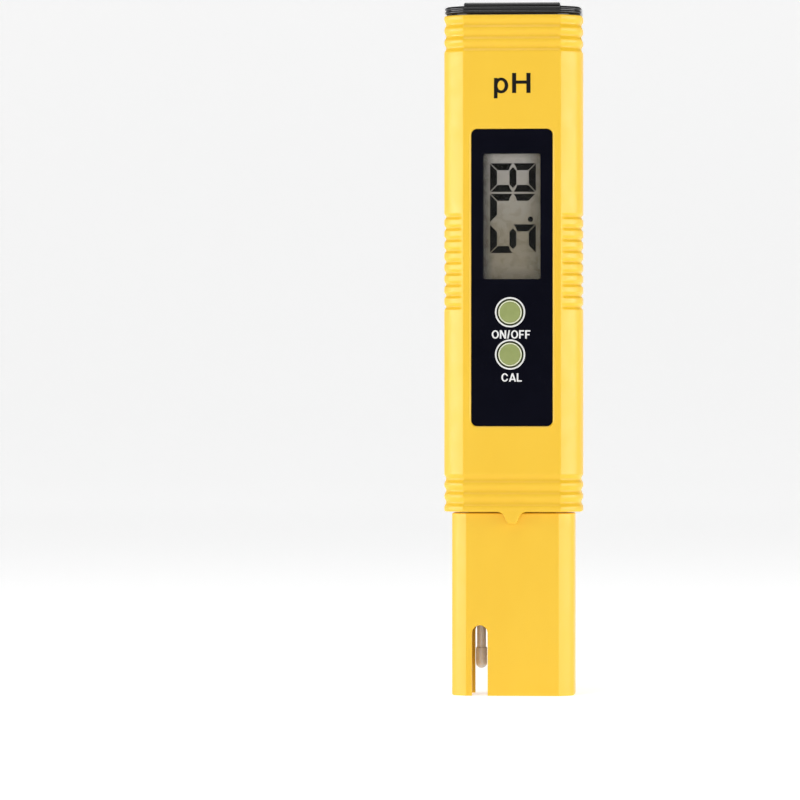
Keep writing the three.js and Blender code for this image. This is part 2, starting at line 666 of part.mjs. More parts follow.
// A thin glass tube blown into a bulb at its foot, open at the top.
const bore = STEM.r - BULB.skin;
const electrodeProfile = [
  ...bulbWall(BULB.r, STEM.r),
  [STEM.r, STEM.top],
  [bore, STEM.top],
  ...bulbWall(BULB.r - BULB.skin, bore).reverse(),
];
const grommet = [[2.5, 18.8], [3.3, 18.8], [3.3, 22], [2.5, 22], [2.5, 18.8]];
add('glass_electrode', turnedZ(electrodeProfile, STEM.x, 20), 'glass');
add('stem_grommet', turnedZ(grommet, STEM.x, 20), 'rubber');
add('silver_wire', rodZ(0.35, STEM.x, BULB.z + 0.4, WIRE_TOP, WIRE_STEPS), 'steel');
add('reference_wire', rodZ(0.3, SIDE_CHAMBER.x, CHAMBER_FLOOR + 2, WIRE_TOP, WIRE_STEPS), 'steel');
const junction = rodZ(JUNCTION.r, JUNCTION.x, CARRIER.bottom - GAP, CHAMBER_FLOOR - GAP, SMALL_STEPS);
add('reference_junction', junction, 'ceramic');
add('potting_plug', rodZ(CHAMBER_R - 0.2, STEM.x, PLUG.bottom, PLUG.top), 'epoxy');

// A steel temperature probe: a thin stem with a round-ended capsule at its foot.
const probeProfile = [
  [ON_AXIS, PROBE.foot],
  [0.52 * PROBE.tip, PROBE.foot + 0.2],
  [0.88 * PROBE.tip, PROBE.foot + 0.7],
  [PROBE.tip, PROBE.foot + 1.3],
  [PROBE.tip, PROBE.tipTop],
  [PROBE.r, PROBE.tipTop + 0.3],
  [PROBE.r, PROBE.top],
  [ON_AXIS, PROBE.top],
];
add('temperature_probe', turnedZ(probeProfile, PROBE.x, MEDIUM_STEPS), 'steel');

// A lead of round section through a few points.
function lead(radius, route) {
  const circle = new THREE.Shape();
  circle.absarc(0, 0, radius, 0, 2 * Math.PI, false);
  const path = new THREE.CatmullRomCurve3(route.map((point) => new THREE.Vector3(...point)));
  return new THREE.ExtrudeGeometry(circle, { extrudePath: path, steps: 12, curveSegments: 4 });
}

const electrodeRoute = [[STEM.x, 0.4, PLUG.top + 1], [STEM.x + 0.5, 0.4, 55], [3.2, 0.2, 64]];
const probeRoute = [[PROBE.x, 0, PROBE.top + 0.5], [-5.5, 0.2, 56], [-3, 0, 64]];
add('electrode_lead', lead(0.8, electrodeRoute), 'rubber');
add('probe_lead', lead(0.6, probeRoute), 'grey');

export default model;
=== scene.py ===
import math

import bmesh
import bpy
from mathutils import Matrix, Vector


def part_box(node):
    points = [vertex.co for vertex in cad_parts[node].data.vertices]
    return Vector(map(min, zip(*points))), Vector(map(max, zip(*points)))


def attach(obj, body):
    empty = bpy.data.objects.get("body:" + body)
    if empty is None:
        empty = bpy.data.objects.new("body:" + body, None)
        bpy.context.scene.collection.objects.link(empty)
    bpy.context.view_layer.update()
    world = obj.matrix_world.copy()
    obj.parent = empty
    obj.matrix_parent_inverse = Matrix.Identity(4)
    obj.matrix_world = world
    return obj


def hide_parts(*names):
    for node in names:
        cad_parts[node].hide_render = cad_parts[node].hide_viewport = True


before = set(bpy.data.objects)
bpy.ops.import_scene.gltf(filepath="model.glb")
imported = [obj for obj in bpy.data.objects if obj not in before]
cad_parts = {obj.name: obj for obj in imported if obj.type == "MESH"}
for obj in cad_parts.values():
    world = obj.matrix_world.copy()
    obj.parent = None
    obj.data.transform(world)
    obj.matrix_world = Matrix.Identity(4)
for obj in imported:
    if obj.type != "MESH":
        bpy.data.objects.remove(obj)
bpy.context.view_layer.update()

MM = 0.001
HOUSING = "housing"
DRAWER = "battery_drawer"


# ---------- places, all from the frame, in millimetres ----------


def place_of(node):
    """A CAD node's lowest and highest corner in millimetres."""
    low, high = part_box(node)
    return Vector(low) / MM, Vector(high) / MM


def centre_of(node):
    """The middle of a CAD node as seen from the front, as x and z."""
    low, high = place_of(node)
    return (low.x + high.x) / 2, (low.z + high.z) / 2


def spaced(first, pitch, count):
    """Heights at equal steps, upwards from the first."""
    return [first + i * pitch for i in range(count)]


shell_low, shell_high = place_of("front_shell")
rear_low, rear_high = place_of("rear_shell")
cap_low, cap_high = place_of("battery_cap")
panel_low, panel_high = place_of("fascia_panel")
lens_low, lens_high = place_of("display_lens")
glass_low, glass_high = place_of("display_front_glass")

HALF_WIDTH = shell_high.x
HALF_DEPTH = rear_high.y
CASE_BOTTOM = rear_low.z
CASE_TOP = rear_high.z
FRONT = -HALF_DEPTH
POCKET_FLOOR = lens_low.y
KEYS = {key: centre_of(f"{key}_button") for key in ("onoff", "cal")}

# The case's cross-section: a flat, a crisp crease, a curved corner, a straight side.
FLAT_HALF = 10.9
FLAT_EASE = 0.44  # how far the corner's curve runs on from the flat
CREASE_SLOPE = 0.65  # how steeply it leaves the flat
CREASE_SHIFT = 0.33  # how far the flat's edge moves in per mm of inset
CREASE_ROUND = 0.16  # how far the crease's rounding reaches to each side
SIDE_HALF = 3.2
SIDE_SHARE = 0.55  # the most of the half-depth that the straight side may take
SIDE_EASE = 0.45  # how far the corner's curve runs on from the side
CORNER_STEPS = 18
CREASE_STEPS = 4
SEAM_HALF = 0.05
SEAM_CHAMFER = 0.12

WALL = 2.0
FLOOR = 2.0
GAP = 0.3
RIM_ROUND = 0.3  # at both ends of the case
RIM_CHAMFER = 0.25
RIM_STEPS = 4
FLOOR_HOLE_INSET = 3.2
SLEEVE_INSET = 1.75
SLEEVE_BORE_INSET = 3.25

GROOVE_PITCH = 2.62
GROOVE_WIDTH = 2.3
GROOVE_DEPTH = 0.42
GROOVE_COUNT = 3
LOWEST_TOP_GROOVE = CASE_TOP - 7.2
LOWEST_BOTTOM_GROOVE = CASE_BOTTOM + 2.1
TOP_GROOVES = spaced(LOWEST_TOP_GROOVE, GROOVE_PITCH, GROOVE_COUNT)
BOTTOM_GROOVES = spaced(LOWEST_BOTTOM_GROOVE, GROOVE_PITCH, GROOVE_COUNT)
GRIP_COUNT = 9
GRIP_PITCH = 2.52
GRIP_WIDTH = 1.6
GRIP_DEPTH = 0.42
GRIP_FADE = (11.0, 12.0)  # from the middle: where the grips begin, and are at full depth
LOWEST_GRIP = CASE_BOTTOM + 45.9
GRIPS = spaced(LOWEST_GRIP, GRIP_PITCH, GRIP_COUNT)
GROOVE_STEPS = 7  # rings from a groove's bottom to each of its edges

LENS_MARGIN = 0.6  # hidden behind the fascia
WINDOW_HALF = 6.375
WINDOW_LOW = lens_low.z + LENS_MARGIN
WINDOW_HIGH = lens_high.z - LENS_MARGIN

TINY = 0.02  # a turned profile starts and ends this close to its axis
PAST = 1.0  # how far a cutter reaches past what it cuts


# ---------- materials ----------


class Finish:
    """A node material whose colour, roughness and bump come from noise in object space."""

    def __init__(self, name, colour, roughness, metallic=0.0):
        self.material = bpy.data.materials.new(name)
        self.material.use_nodes = True
        self.nodes = self.material.node_tree.nodes
        self.links = self.material.node_tree.links
        self.shader = self.nodes["Principled BSDF"]
        self.shader.inputs["Base Color"].default_value = (*colour, 1)
        self.shader.inputs["Roughness"].default_value = roughness
        self.shader.inputs["Metallic"].default_value = metallic
        self.colour = colour
        self.place = self.nodes.new("ShaderNodeTexCoord").outputs["Object"]
        self.bumps = None

    def set(self, **values):
        """Sets the shader's own sockets, spaces in their names given as underscores."""
        for key, value in values.items():
            self.shader.inputs[key.replace("_", " ")].default_value = value
        return self

    def noise(self, size_mm, detail=2.0, stretch=(1, 1, 1)):
        """Noise whose features are about size_mm across."""
        mapping = self.nodes.new("ShaderNodeMapping")
        mapping.inputs["Scale"].default_value = stretch
        self.links.new(self.place, mapping.inputs["Vector"])
        noise = self.nodes.new("ShaderNodeTexNoise")
        noise.inputs["Scale"].default_value = 1 / (size_mm * MM)
        noise.inputs["Detail"].default_value = detail
        self.links.new(mapping.outputs["Vector"], noise.inputs["Vector"])
        return noise.outputs["Fac"]

    def spread(self, value, low, high, start=0.3, end=0.7):
        """A value between start and end mapped to the range from low to high."""
        node = self.nodes.new("ShaderNodeMapRange")
        node.inputs["From Min"].default_value = start
        node.inputs["From Max"].default_value = end
        node.inputs["To Min"].default_value = low
        node.inputs["To Max"].default_value = high
        self.links.new(value, node.inputs["Value"])
        return node.outputs["Result"]

    def mottle(self, other, size_mm, detail=3.0, stretch=(1, 1, 1), start=0.32, end=0.68):
        """Lets the colour drift to another one and back."""
        ramp = self.nodes.new("ShaderNodeValToRGB")
        first, last = ramp.color_ramp.elements
        first.position = start
        last.position = end
        first.color = (*self.colour, 1)
        last.color = (*other, 1)
        self.links.new(self.noise(size_mm, detail, stretch), ramp.inputs["Fac"])
        self.links.new(ramp.outputs["Color"], self.shader.inputs["Base Color"])
        return self

    def fade(self, other, axis, start, end):
        """Lets the colour turn into another one along an axis, from start to end in mm."""
        split = self.nodes.new("ShaderNodeSeparateXYZ")
        self.links.new(self.place, split.inputs[0])
        share = self.spread(split.outputs[axis], 0, 1, start * MM, end * MM)
        mix = self.nodes.new("ShaderNodeMix")
        mix.data_type = "RGBA"
        mix.inputs["B"].default_value = (*other, 1)
        colour = self.shader.inputs["Base Color"]
        self.links.new(share, mix.inputs["Factor"])
        self.links.new(colour.links[0].from_socket, mix.inputs["A"])
        self.links.new(mix.outputs["Result"], colour)
        return self

    def gloss(self, low, high, size_mm, detail=3.0, stretch=(1, 1, 1)):
        """Lets the roughness drift between two values."""
        value = self.spread(self.noise(size_mm, detail, stretch), low, high)
        self.links.new(value, self.shader.inputs["Roughness"])
        return self

    def grain(self, size_mm, height_mm, strength=1.0, detail=2.0, stretch=(1, 1, 1)):
        """Adds a bump of noise, over any bump made before."""
        bump = self.nodes.new("ShaderNodeBump")
        bump.inputs["Strength"].default_value = strength
        bump.inputs["Distance"].default_value = height_mm * MM
        self.links.new(self.noise(size_mm, detail, stretch), bump.inputs["Height"])
        if self.bumps is not None:
            self.links.new(self.bumps, bump.inputs["Normal"])
        self.bumps = bump.outputs["Normal"]
        self.links.new(self.bumps, self.shader.inputs["Normal"])
        return self


def yellow_plastic():
    """Satin moulded ABS: a fine spark-eroded texture over a faint flow mottle."""
    finish = Finish("yellow_abs", (0.90, 0.545, 0.022), roughness=0.4)
    finish.mottle((0.915, 0.57, 0.028), size_mm=14, stretch=(1, 1, 0.4))
    finish.gloss(0.33, 0.43, size_mm=3.5)
    finish.grain(size_mm=6, height_mm=0.05, strength=0.15)
    finish.grain(size_mm=0.22, height_mm=0.012, strength=0.35)
    return finish.set(IOR=1.5).material


def black_plastic():
    """Semi-gloss black ABS."""
    finish = Finish("black_abs", (0.005, 0.005, 0.006), roughness=0.2)
    finish.mottle((0.008, 0.008, 0.009), size_mm=4)
    finish.gloss(0.10, 0.19, size_mm=1.8)
    finish.grain(size_mm=3, height_mm=0.02, strength=0.2)
    finish.grain(size_mm=0.18, height_mm=0.006, strength=0.15)
    return finish.material


def fascia_black():
    """A back-printed black panel with a polished face."""
    finish = Finish("fascia_gloss", (0.0016, 0.0018, 0.0055), roughness=0.1)
    finish.mottle((0.0026, 0.0028, 0.0075), size_mm=9)
    finish.gloss(0.07, 0.14, size_mm=5)
    finish.grain(size_mm=8, height_mm=0.02, strength=0.12)
    return finish.set(Specular_IOR_Level=0.035).material


def key_plastic():
    """Muted green moulded keys."""
    finish = Finish("key_green", (0.272, 0.322, 0.098), roughness=0.35)
    finish.mottle((0.295, 0.345, 0.112), size_mm=1.6)
    finish.gloss(0.28, 0.4, size_mm=0.9)
    finish.grain(size_mm=0.15, height_mm=0.008, strength=0.4)
    return finish.material


def key_edge_painted_highlight():
    """The keys' polished edge, painted paler as a highlight on its rounding."""
    finish = Finish("key_edge", (0.72, 0.76, 0.50), roughness=0.22)
    finish.mottle((0.78, 0.80, 0.60), size_mm=0.9)
    finish.gloss(0.15, 0.28, size_mm=0.6)
    return finish.grain(size_mm=0.12, height_mm=0.004, strength=0.3).material


def white_plastic():
    """The keys' white trim rings."""
    finish = Finish("ring_white", (0.80, 0.80, 0.78), roughness=0.25)
    finish.mottle((0.86, 0.86, 0.84), size_mm=0.8)
    finish.gloss(0.18, 0.3, size_mm=0.6)
    return finish.grain(size_mm=0.12, height_mm=0.004, strength=0.3).material


def ink(name, colour, other, shine):
    """Printed ink, a little uneven."""
    finish = Finish(name, colour, roughness=0.45)
    finish.mottle(other, size_mm=0.7)
    finish.gloss(0.35, 0.55, size_mm=0.4)
    finish.set(Specular_IOR_Level=shine)
    return finish.grain(size_mm=0.1, height_mm=0.004, strength=0.4).material


def display_film():
    """The display's grey-olive polariser: faint grain along it and a soft sheen, with a painted
    reflection lighting its top and painted shade darkening its left and right edges.
    """
    finish = Finish("display_film", (0.255, 0.219, 0.146), roughness=0.3)
    finish.mottle((0.270, 0.236, 0.166), size_mm=12, detail=2, stretch=(1, 1, 0.5))
    # Painted reflection: the film turns lighter towards the top of the window.
    finish.fade((0.47, 0.45, 0.41), "Z", WINDOW_LOW + 10, WINDOW_HIGH)
    # Painted shade: darker towards the right edge of the recessed display.
    finish.fade((0.15, 0.132, 0.080), "X", 2.5, 6.6)
    # Painted shadow: darker towards the left edge, the window edge's shadow on the recessed
    # display.
    finish.fade((0.09, 0.085, 0.075), "X", -4.2, -6.6)
    finish.gloss(0.22, 0.34, size_mm=2)
    return finish.grain(size_mm=0.08, height_mm=0.002, strength=0.2, stretch=(1, 1, 0.05)).material


def clear_window():
    """Clear acrylic."""
    finish = Finish("clear_window", (1, 1, 1), roughness=0.03)
    finish.gloss(0.01, 0.06, size_mm=4)
    finish.set(IOR=1.12, Transmission_Weight=1.0)
    return finish.grain(size_mm=9, height_mm=0.01, strength=0.08).material


def clear_glass():
    """Thin blown glass."""
    finish = Finish("clear_glass", (0.97, 0.99, 0.99), roughness=0.03)
    finish.gloss(0.01, 0.05, size_mm=3)
    finish.set(IOR=1.45, Transmission_Weight=1.0)
    return finish.grain(size_mm=3, height_mm=0.02, strength=0.15).material


def rubber():
    """Matte black elastomer."""
    finish = Finish("black_rubber", (0.022, 0.022, 0.022), roughness=0.8)
    finish.mottle((0.035, 0.034, 0.033), size_mm=0.8)
    finish.gloss(0.65, 0.9, size_mm=0.7)
    return finish.grain(size_mm=0.2, height_mm=0.02, strength=0.5).material


def solder_mask():
    """Green solder mask over woven glass."""
    finish = Finish("solder_mask", (0.012, 0.12, 0.035), roughness=0.35)
    finish.mottle((0.02, 0.16, 0.05), size_mm=1.2)
    finish.gloss(0.25, 0.42, size_mm=1)
    return finish.grain(size_mm=0.35, height_mm=0.02, strength=0.4, stretch=(1, 1, 3)).material


def chip_epoxy():
    """Moulded epoxy packages and potting resin."""
    finish = Finish("chip_epoxy", (0.016, 0.016, 0.017), roughness=0.6)
    finish.mottle((0.028, 0.027, 0.027), size_mm=0.4)
    finish.gloss(0.5, 0.7, size_mm=0.3)
    return finish.grain(size_mm=0.1, height_mm=0.01, strength=0.5).material


def metal(name, colour, other, low, high, size_mm, stretch=(1, 1, 1)):
    """Metal with fine lines or mottling."""
    finish = Finish(name, colour, roughness=low, metallic=1.0)
    finish.mottle(other, size_mm, detail=4, stretch=stretch)
    finish.gloss(low, high, size_mm, detail=4, stretch=stretch)
    return finish.grain(size_mm, height_mm=0.004, strength=0.3, stretch=stretch).material


def satin_steel():
    """The probe's bead-blasted steel, nearly white."""
    finish = Finish("satin_steel", (0.93, 0.93, 0.96), roughness=0.5, metallic=0.2)
    finish.mottle((0.87, 0.87, 0.90), size_mm=0.8)
    finish.gloss(0.42, 0.58, size_mm=0.3)
    return finish.grain(size_mm=0.1, height_mm=0.006, strength=0.4).material


def grey_plastic():
    """Light grey moulded plastic."""
    finish = Finish("grey_plastic", (0.42, 0.42, 0.40), roughness=0.45)
    finish.mottle((0.47, 0.47, 0.45), size_mm=3)
    finish.gloss(0.38, 0.52, size_mm=1.5)
    return finish.grain(size_mm=0.2, height_mm=0.01, strength=0.4).material


def ceramic():
    """Porous white ceramic."""
    finish = Finish("porous_ceramic", (0.80, 0.78, 0.72), roughness=0.85)
    finish.mottle((0.66, 0.63, 0.56), size_mm=0.12)
    return finish.grain(size_mm=0.1, height_mm=0.03, strength=0.8).material


YELLOW = yellow_plastic()
BLACK = black_plastic()
FASCIA = fascia_black()
GREEN = key_plastic()
KEY_EDGE_HIGHLIGHT = key_edge_painted_highlight()
WHITE = white_plastic()
BLACK_INK = ink("black_ink", (0.003, 0.003, 0.003), (0.006, 0.006, 0.005), shine=0.15)
WHITE_INK = ink("white_ink", (0.84, 0.84, 0.83), (0.76, 0.76, 0.75), shine=0.5)
SEGMENT = ink("display_segment", (0.004, 0.004, 0.004), (0.008, 0.008, 0.006), shine=0.05)
FILM = display_film()
WINDOW = clear_window()
GLASS = clear_glass()
RUBBER = rubber()
MASK = solder_mask()
EPOXY = chip_epoxy()
STEEL = metal(
    "bright_steel",
    colour=(0.58, 0.585, 0.60),
    other=(0.50, 0.505, 0.52),
    low=0.2,
    high=0.34,
    size_mm=0.3,
    stretch=(1, 1, 0.2),
)
SATIN = satin_steel()
NICKEL = metal(
    "nickel_plate",
    colour=(0.66, 0.63, 0.57),
    other=(0.61, 0.58, 0.53),
    low=0.20,
    high=0.30,
    size_mm=1.8,
)
GREY = grey_plastic()
CERAMIC = ceramic()


# ---------- meshes ----------

MERGE_MM = 1e-4  # vertices closer than this become one
SHARP_ANGLE = 26  # edges that bend more than this many degrees stay sharp
TURNED_SHARP_ANGLE = 35
KEY_SHARP_ANGLE = 40
FLAT_FACE_WEIGHT = 80  # how far large faces rule the shading at their edges


def new_object(name, vertices, faces):
    """An object from vertices in millimetres, its faces turned outwards."""
    mesh = bpy.data.meshes.new(name)
    mesh.from_pydata([Vector(v) * MM for v in vertices], [], faces)
    tidy = bmesh.new()
    tidy.from_mesh(mesh)
    bmesh.ops.remove_doubles(tidy, verts=tidy.verts, dist=MERGE_MM * MM)
    bmesh.ops.recalc_face_normals(tidy, faces=tidy.faces)
    tidy.to_mesh(mesh)
    tidy.free()
    item = bpy.data.objects.new(name, mesh)
    bpy.context.scene.collection.objects.link(item)
    return item


def skin(name, rings, ends=True, looped=True):
    """A surface through rings of equal length. Ends closes the first and last ring with a
    face; without it the last ring joins the first. Looped closes each ring on itself."""
    count = len(rings[0])
    vertices = [point for ring in rings for point in ring]
    faces = []
    rows = len(rings) - 1 if ends else len(rings)
    columns = count if looped else count - 1
    for i in range(rows):
        here = i * count
        there = (i + 1) % len(rings) * count
        for j in range(columns):
            k = (j + 1) % count
            faces.append((here + j, here + k, there + k, there + j))
    if ends:
        faces.append(tuple(range(count)))
        faces.append(tuple(range((len(rings) - 1) * count, len(rings) * count)))
    elif not looped:
        faces.append(tuple(i * count for i in range(len(rings))))
        faces.append(tuple(i * count + count - 1 for i in range(len(rings))))
    return new_object(name, vertices, faces)


def apply_modifiers(item):
    """Replaces an object's mesh with what its modifiers make of it."""
    graph = bpy.context.evaluated_depsgraph_get()
    mesh = bpy.data.meshes.new_from_object(item.evaluated_get(graph), depsgraph=graph)
    item.modifiers.clear()
    item.data = mesh


def carve(target, tool, operation="DIFFERENCE"):
    """Cuts the tool from the target, or joins it, and deletes the tool."""
    modifier = target.modifiers.new("carve", "BOOLEAN")
    modifier.operation = operation
    modifier.solver = "EXACT"
    modifier.object = tool
    apply_modifiers(target)
    bpy.data.objects.remove(tool, do_unlink=True)


def smooth(item, angle=SHARP_ANGLE):
    """Smooth shading with sharp edges kept, the large faces staying flat."""
    for face in item.data.polygons:
        face.use_smooth = True
    item.data.set_sharp_from_angle(angle=math.radians(angle))
    weigh = item.modifiers.new("weigh", "WEIGHTED_NORMAL")
    weigh.keep_sharp = True
    weigh.weight = FLAT_FACE_WEIGHT
    apply_modifiers(item)
    return item


def show(item, material, body, slot, *nodes):
    """Gives a piece its material and its body, and hides the CAD nodes it stands for. The slot is
    not used.
    """
    item.data.materials.clear()
    item.data.materials.append(material)
    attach(item, body)
    if nodes:
        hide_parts(*nodes)


def circle(radius, steps):
    """Points round a circle about the origin, the first one on its right."""
    angles = [2 * math.pi * i / steps for i in range(steps)]
    return [(radius * math.cos(angle), radius * math.sin(angle)) for angle in angles]


def turn_y(name, profile, x, z, steps=72):
    """A profile of (radius, y) points turned about a line along Y."""
    rings = [[(x + dx, y, z + dz) for dx, dz in circle(radius, steps)] for radius, y in profile]
    return skin(name, rings)


def turn_z(name, profile, x, steps=64):
    """A profile of (radius, z) points turned about a line along Z."""
    rings = [[(x + dx, dy, z) for dx, dy in circle(radius, steps)] for radius, z in profile]
    return skin(name, rings)


def round_strip(name, section, x, z, steps=96):
    """A closed section of (radius, y) points swept round a line along Y."""
    rings = []
    for cosine, sine in circle(1, steps):
        rings.append([(x + radius * cosine, y, z + radius * sine) for radius, y in section])
    return skin(name, rings, ends=False)


def arc(centre, radius, start, end, steps):
    """Points on an arc, angles in degrees."""
    points = []
    for i in range(steps + 1):
        angle = math.radians(start + (end - start) * i / steps)
        points.append((centre[0] + radius * math.cos(angle), centre[1] + radius * math.sin(angle)))
    return points


def rounded_rectangle(low, high, radius, grow=0.0, steps=8):
    """Points of a round-cornered rectangle from low to high, grown on every side."""
    x0, z0 = low[0] - grow, low[1] - grow
    x1, z1 = high[0] + grow, high[1] + grow
    r = max(radius + grow, TINY)
    points = arc((x1 - r, z1 - r), r, 0, 90, steps)
    points += arc((x0 + r, z1 - r), r, 90, 180, steps)
    points += arc((x0 + r, z0 + r), r, 180, 270, steps)
    points += arc((x1 - r, z0 + r), r, 270, 360, steps)
    return points


def frontal(points, y):
    """Front-view points placed at a depth."""
    return [(x, y, z) for x, z in points]


def plate(name, low, high, radius, levels, steps=8):
    """A round-cornered plate seen from the front, through levels of (depth, growth)."""
    corners = (low.x, low.z), (high.x, high.z)
    rings = [frontal(rounded_rectangle(*corners, radius, grow, steps), y) for y, grow in levels]
    return skin(name, rings)


def pane(name, low, high, radius, steps=8):
    """A flat pane that fills a CAD box, its edges slightly chamfered."""
    chamfer = 0.05
    levels = [(high.y, -chamfer), (high.y - chamfer, 0), (low.y + chamfer, 0), (low.y, -chamfer)]
    return plate(name, low, high, radius, levels, steps)


# ---------- the case's cross-section ----------


def cubic(a, b, c, d, t):
    """The point at t on a curve from a to d that leaves towards b and arrives from c."""
    s = 1 - t
    weights = (s * s * s, 3 * s * s * t, 3 * s * t * t, t * t * t)
    return tuple(sum(w * p[i] for w, p in zip(weights, (a, b, c, d))) for i in (0, 1))


def quadratic(a, b, c, steps):
    """Points on a curve from a to c that heads for b."""
    points = []
    for i in range(steps + 1):
        t = i / steps
        s = 1 - t
        points.append(tuple(s * s * a[k] + 2 * s * t * b[k] + t * t * c[k] for k in (0, 1)))
    return points


def quarter(inset):
    """The section from its right side round to the front flat, as (x, y) points."""
    flat = FLAT_HALF - inset * CREASE_SHIFT
    side = HALF_WIDTH - inset
    face = HALF_DEPTH - inset
    straight = min(SIDE_HALF, SIDE_SHARE * face)
    run = FLAT_EASE * (side - flat)
    a = (side, -straight)
    b = (side, -(straight + SIDE_EASE * (face - straight)))
    c = (flat + run, -(face - run * CREASE_SLOPE))
    d = (flat, -face)
    reach = 1 - CREASE_ROUND / (3 * math.dist(c, d))
    points = [cubic(a, b, c, d, reach * i / CORNER_STEPS) for i in range(CORNER_STEPS + 1)]
    crease = quadratic(points[-1], d, (flat - CREASE_ROUND, -face), CREASE_STEPS)
    return points + crease[1:]


def whole_section(inset):
    """The closed section, counter-clockwise from the middle of the right side."""
    front_right = quarter(inset)
    front_left = [(-x, y) for x, y in reversed(front_right)]
    rear = [(x, -y) for x, y in reversed(front_right + front_left)]
    return front_right + front_left + rear


def half_section(inset, rear):
    """The section's front or rear half from seam to seam, with a small chamfer there."""
    side = HALF_WIDTH - inset
    seam = [(side - SEAM_CHAMFER, -SEAM_HALF), (side, -SEAM_HALF - SEAM_CHAMFER)]
    right = seam + quarter(inset)
    points = right + [(-x, y) for x, y in reversed(right)]
    return [(x, -y) for x, y in points] if rear else points


def stack(profile):
    """A ring of the whole section for each (z, inset) of a profile."""
    return [[(x, y, z) for x, y in whole_section(inset)] for z, inset in profile]


def between(low, high, value):
    """A smooth step from 0 at low to 1 at high."""
    t = min(max((value - low) / (high - low), 0), 1)
    return t * t * (3 - 2 * t)


def wave(z, centres, width):
    """1 at the bottom of a groove and 0 outside every groove."""
    nearest = min(abs(z - centre) for centre in centres)
    return 0 if nearest >= width / 2 else 0.5 + 0.5 * math.cos(2 * math.pi * nearest / width)


def groove_levels():
    """The heights where the case's outer wall needs a ring."""
    levels = set()
    for centres, width in ((TOP_GROOVES + BOTTOM_GROOVES, GROOVE_WIDTH), (GRIPS, GRIP_WIDTH)):
        for centre in centres:
            for i in range(-GROOVE_STEPS, GROOVE_STEPS + 1):
                levels.add(round(centre + width / 2 * i / GROOVE_STEPS, 4))
    return sorted(levels)


def outer_profile():
    """The case's outer wall from its foot to its top, as (z, inset) points."""
    turns = [math.pi / 2 * i / RIM_STEPS for i in range(RIM_STEPS + 1)]
    r = RIM_ROUND
    foot = [(CASE_BOTTOM + r - r * math.cos(a), r - r * math.sin(a)) for a in turns]
    top = [(CASE_TOP - r + r * math.sin(a), r - r * math.cos(a)) for a in turns]
    return foot + [(z, 0) for z in groove_levels()] + top


def inner_profile():
    """On from the outer wall: in over the rim, down the inside, round the floor's lip."""
    return [
        (CASE_TOP, WALL - RIM_CHAMFER),
        (CASE_TOP - RIM_CHAMFER, WALL),
        (CASE_BOTTOM + FLOOR, WALL),
        (CASE_BOTTOM + FLOOR, FLOOR_HOLE_INSET),
        (CASE_BOTTOM, FLOOR_HOLE_INSET),
    ]


def outer_ring(z, inset, rear):
    """The outer wall at one height, sunk where a groove or a grip runs."""
    outline = half_section(inset, rear)
    deeper = half_section(inset + 1, rear)
    groove = GROOVE_DEPTH * wave(z, TOP_GROOVES + BOTTOM_GROOVES, GROOVE_WIDTH)
    grip = GRIP_DEPTH * wave(z, GRIPS, GRIP_WIDTH)
    ring = []
    for (x, y), (dx, dy) in zip(outline, deeper):
        depth = groove + grip * between(*GRIP_FADE, abs(x))
        ring.append((x + (dx - x) * depth, y + (dy - y) * depth, z))
    return ring


def case_half(name, rear):
    """One half of the case as a closed shell."""
    rings = [outer_ring(z, inset, rear) for z, inset in outer_profile()]
    for z, inset in inner_profile():
        rings.append([(x, y, z) for x, y in half_section(inset, rear)])
    return skin(name, rings, ends=False, looped=False)


# ---------- case ----------


def pocket_tool():
    """The recess for the fascia, flared a little at its rim."""
    fit = 0.07
    levels = [
        (FRONT - PAST, 0.45),
        (FRONT, 0.34 + fit),
        (FRONT + 0.06, 0.24 + fit),
        (FRONT + 0.24, fit),
        (POCKET_FLOOR, fit),
    ]
    return plate("pocket_tool", panel_low, panel_high, 1.3, levels)


def window_tool():
    """The opening behind the window."""
    clear = 0.25
    levels = [(FRONT, clear), (FRONT + WALL + PAST, clear)]
    return plate("window_tool", lens_low, lens_high, 0.4, levels)


def tab_tool():
    """The tab under the case's front edge: hollow flanks and a blunt round tip."""
    tip = shell_low.z
    root_half, root_top = 3.3, CASE_BOTTOM + 0.6
    waist = (1.75, CASE_BOTTOM - 0.1)  # what the hollow flank heads for
    shoulder = (1.38, tip + 0.75)
    tip_half, tip_round = 0.54, 0.7
    right = quadratic((root_half, CASE_BOTTOM), waist, shoulder, 8)
    right += arc((tip_half, tip + tip_round), tip_round, 0, -90, 5)
    outline = [(root_half, root_top)] + right
    outline += [(-x, z) for x, z in reversed(outline)]
    rings = []
    # Depths behind the case's face, and the share of the outline's size kept there.
    for depth, keep in ((1.45, 1.0), (0.4, 1.0), (0.15, 0.97), (0.03, 0.9)):
        smaller = [(x * keep, CASE_BOTTOM + (z - CASE_BOTTOM) * keep) for x, z in outline]
        rings.append(frontal(smaller, FRONT + depth))
    return skin("tab_tool", rings)


def tongue_tool(side):
    """The rear half's tongue, which closes the seam from inside."""
    wall = HALF_WIDTH - WALL
    root, face, back = wall + 0.2, wall - 0.03, wall - 0.33
    behind, ledge, ahead = 1.5, 0.15, -0.8
    profile = [(root, behind), (root, ledge), (face, ledge)]
    profile += [(face, ahead), (back, ahead), (back, behind)]
    levels = (CASE_BOTTOM + 2.5, cap_low.z - GAP)
    return skin("tongue_tool", [[(side * x, y, z) for x, y in profile] for z in levels])


def make_case():
    """The two yellow halves, the front one with its openings and its tab."""
    shell = case_half("front_case", rear=False)
    carve(shell, pocket_tool())
    carve(shell, window_tool())
    bore = [(3.4, FRONT), (3.4, FRONT + WALL + PAST)]
    for x, z in KEYS.values():
        carve(shell, turn_y("key_tool", bore, x, z, 48))
    carve(shell, tab_tool(), "UNION")
    show(smooth(shell), YELLOW, HOUSING, "case_yellow", "front_shell")
    rear = case_half("rear_case", rear=True)
    for side in (-1, 1):
        carve(rear, tongue_tool(side), "UNION")
    show(smooth(rear), YELLOW, HOUSING, "case_yellow", "rear_shell")


# ---------- battery cap ----------


